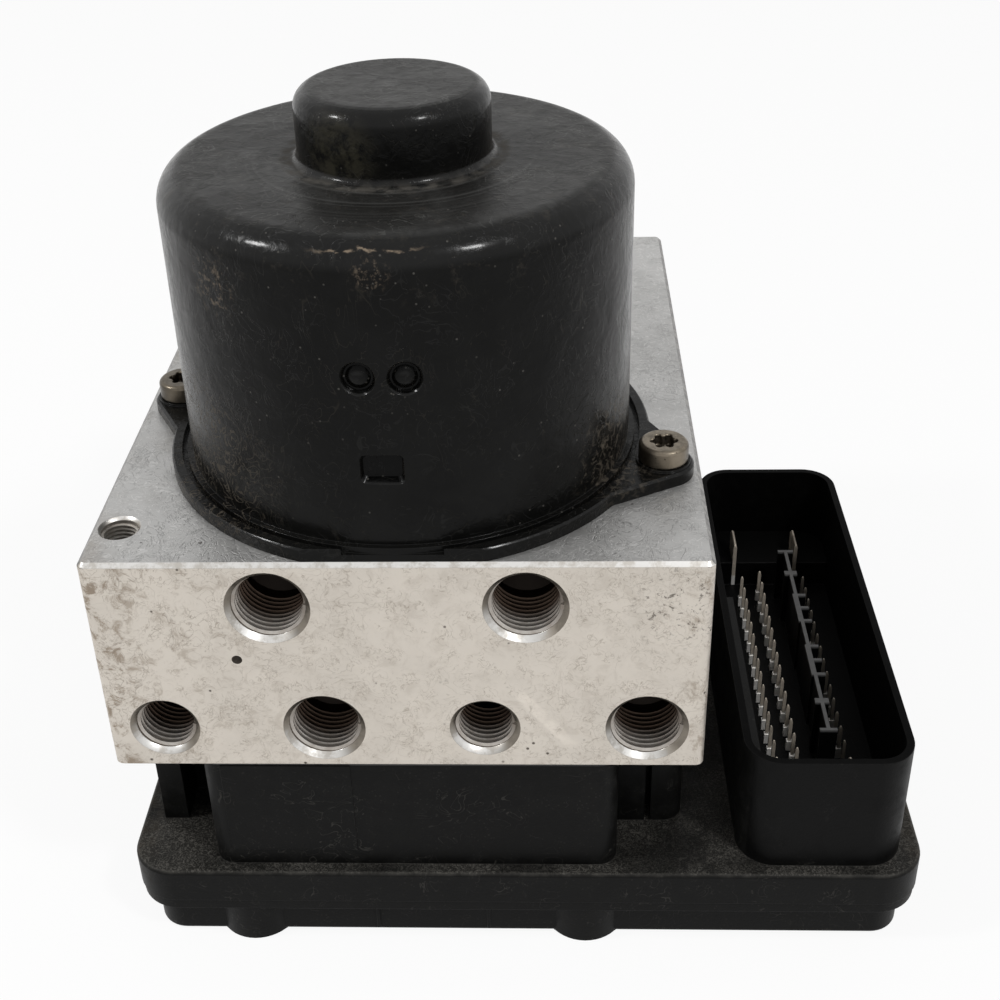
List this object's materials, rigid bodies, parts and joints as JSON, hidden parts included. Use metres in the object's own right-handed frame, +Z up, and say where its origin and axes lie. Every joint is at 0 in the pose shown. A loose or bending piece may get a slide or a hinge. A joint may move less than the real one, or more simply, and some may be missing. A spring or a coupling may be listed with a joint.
{
  "type": "abs brake module",
  "caption": "Anti-lock brake module: pump motor on an aluminium valve block with threaded pipe ports, on a black plastic control unit with a deep plug socket.",
  "frame": {"origin": "motor axis where it meets the plane the control unit's cover rests on", "axes": "+Z up along the motor axis, -Y towards the pipe ports, +X towards the plug socket"},
  "size_m": [0.1419, 0.133, 0.1469],
  "materials": {
    "machined_aluminium": "machined, dull, faintly stained",
    "black_can": "black satin coat with scuffs",
    "screw_steel": "brownish grey steel",
    "seal_rubber": "matt black",
    "ferrite": "dark sintered",
    "ground_steel": "ground",
    "core_steel": "stacked laminations",
    "copper_wire": "lacquered copper wire",
    "copper_bars": "turned copper",
    "bush_bronze": "sintered bronze",
    "brown_moulding": "dark brown moulding",
    "contact_metal": "tin plated",
    "plated_steel": "zinc plated",
    "coil_steel": "black coil jacket",
    "black_housing": "black glass filled moulding, dusty",
    "black_cover": "black moulding",
    "socket_moulding": "dark grey moulding",
    "board_green": "green board",
    "carbon": "pressed carbon",
    "spring_steel": "drawn wire",
    "piston_aluminium": "turned"
  },
  "bodies": {
    "module": {"hydraulic_block": "machined_aluminium", "motor_housing": "black_can", "motor_screws": "screw_steel", "motor_seal": "seal_rubber", "motor_magnets": "ferrite", "upper_bearing": "ground_steel", "lower_bearing": "ground_steel", "shaft_bush": "bush_bronze", "brush_plate": "brown_moulding", "supply_pins": "contact_metal", "supply_sleeve": "brown_moulding", "pump_plugs": "plated_steel", "accumulator_covers": "plated_steel", "closing_balls": "ground_steel", "valve_bodies": "ground_steel", "solenoid_coils": "coil_steel", "ecu_housing": "black_housing", "ecu_cover": "black_cover", "pin_carrier": "socket_moulding", "unit_screws": "screw_steel", "unit_gasket": "seal_rubber", "circuit_board": "board_green", "board_components": "black_cover", "signal_pins": "contact_metal", "power_blades": "contact_metal", "brush_spring_left": "spring_steel", "pump_spring_left": "spring_steel", "accumulator_spring_left": "spring_steel", "brush_spring_right": "spring_steel", "pump_spring_right": "spring_steel", "accumulator_spring_right": "spring_steel", "inlet_spring_1": "spring_steel", "outlet_spring_1": "spring_steel", "inlet_spring_2": "spring_steel", "outlet_spring_2": "spring_steel", "inlet_spring_3": "spring_steel", "outlet_spring_3": "spring_steel", "inlet_spring_4": "spring_steel", "outlet_spring_4": "spring_steel"},
    "armature": {"armature_shaft": "ground_steel", "armature_core": "core_steel", "armature_windings": "copper_wire", "commutator": "copper_bars", "eccentric": "ground_steel"},
    "cam_ring": {"eccentric_ring": "ground_steel"},
    "pump_piston_left": {"pump_piston_left": "ground_steel"},
    "pump_piston_right": {"pump_piston_right": "ground_steel"},
    "accumulator_piston_left": {"accumulator_piston_left": "piston_aluminium"},
    "accumulator_piston_right": {"accumulator_piston_right": "piston_aluminium"},
    "inlet_plunger_1": {"inlet_plunger_1": "ground_steel"},
    "inlet_plunger_2": {"inlet_plunger_2": "ground_steel"},
    "inlet_plunger_3": {"inlet_plunger_3": "ground_steel"},
    "inlet_plunger_4": {"inlet_plunger_4": "ground_steel"},
    "outlet_plunger_1": {"outlet_plunger_1": "ground_steel"},
    "outlet_plunger_2": {"outlet_plunger_2": "ground_steel"},
    "outlet_plunger_3": {"outlet_plunger_3": "ground_steel"},
    "outlet_plunger_4": {"outlet_plunger_4": "ground_steel"},
    "brush_left": {"brush_left": "carbon"},
    "brush_right": {"brush_right": "carbon"}
  },
  "joints": [
    {"name": "armature_spin", "type": "hinge", "parent": "module", "child": "armature", "pos_m": [0, 0, 0.0835], "axis": [0, 0, 1], "continuous": true},
    {"name": "cam_ring_turn", "type": "hinge", "parent": "armature", "child": "cam_ring", "pos_m": [0, 0.001, 0.0655], "axis": [0, 0, 1], "continuous": true},
    {"name": "pump_piston_left_stroke", "type": "slide", "parent": "module", "child": "pump_piston_left", "axis": [1, 0, 0], "range_m": [0, 0.001], "deforming": ["pump_spring_left"]},
    {"name": "pump_piston_right_stroke", "type": "slide", "parent": "module", "child": "pump_piston_right", "axis": [-1, 0, 0], "range_m": [0, 0.001], "deforming": ["pump_spring_right"]},
    {"name": "accumulator_piston_left_stroke", "type": "slide", "parent": "module", "child": "accumulator_piston_left", "axis": [0, 1, 0], "range_m": [0, 0.008], "stiffness_N_per_m": 2000, "springref_m": -0.004, "deforming": ["accumulator_spring_left"]},
    {"name": "accumulator_piston_right_stroke", "type": "slide", "parent": "module", "child": "accumulator_piston_right", "axis": [0, 1, 0], "range_m": [0, 0.008], "stiffness_N_per_m": 2000, "springref_m": -0.004, "deforming": ["accumulator_spring_right"]},
    {"name": "inlet_valve_1_lift", "type": "slide", "parent": "module", "child": "inlet_plunger_1", "axis": [0, 0, 1], "range_m": [0, 0.0004], "stiffness_N_per_m": 200, "springref_m": -0.001, "deforming": ["inlet_spring_1"]},
    {"name": "inlet_valve_2_lift", "type": "slide", "parent": "module", "child": "inlet_plunger_2", "axis": [0, 0, 1], "range_m": [0, 0.0004], "stiffness_N_per_m": 200, "springref_m": -0.001, "deforming": ["inlet_spring_2"]},
    {"name": "inlet_valve_3_lift", "type": "slide", "parent": "module", "child": "inlet_plunger_3", "axis": [0, 0, 1], "range_m": [0, 0.0004], "stiffness_N_per_m": 200, "springref_m": -0.001, "deforming": ["inlet_spring_3"]},
    {"name": "inlet_valve_4_lift", "type": "slide", "parent": "module", "child": "inlet_plunger_4", "axis": [0, 0, 1], "range_m": [0, 0.0004], "stiffness_N_per_m": 200, "springref_m": -0.001, "deforming": ["inlet_spring_4"]},
    {"name": "outlet_valve_1_lift", "type": "slide", "parent": "module", "child": "outlet_plunger_1", "axis": [0, 0, -1], "range_m": [0, 0.0003], "stiffness_N_per_m": 200, "springref_m": -0.001, "deforming": ["outlet_spring_1"]},
    {"name": "outlet_valve_2_lift", "type": "slide", "parent": "module", "child": "outlet_plunger_2", "axis": [0, 0, -1], "range_m": [0, 0.0003], "stiffness_N_per_m": 200, "springref_m": -0.001, "deforming": ["outlet_spring_2"]},
    {"name": "outlet_valve_3_lift", "type": "slide", "parent": "module", "child": "outlet_plunger_3", "axis": [0, 0, -1], "range_m": [0, 0.0003], "stiffness_N_per_m": 200, "springref_m": -0.001, "deforming": ["outlet_spring_3"]},
    {"name": "outlet_valve_4_lift", "type": "slide", "parent": "module", "child": "outlet_plunger_4", "axis": [0, 0, -1], "range_m": [0, 0.0003], "stiffness_N_per_m": 200, "springref_m": -0.001, "deforming": ["outlet_spring_4"]},
    {"name": "brush_left_slide", "type": "slide", "parent": "module", "child": "brush_left", "axis": [-1, 0, 0], "range_m": [0, 0.004], "stiffness_N_per_m": 60, "springref_m": -0.03, "deforming": ["brush_spring_left"]},
    {"name": "brush_right_slide", "type": "slide", "parent": "module", "child": "brush_right", "axis": [1, 0, 0], "range_m": [0, 0.004], "stiffness_N_per_m": 60, "springref_m": -0.03, "deforming": ["brush_spring_right"]}
  ],
  "couplings": [
    {"joint": "cam_ring_turn", "follows": "armature_spin", "ratio": -1}
  ]
}
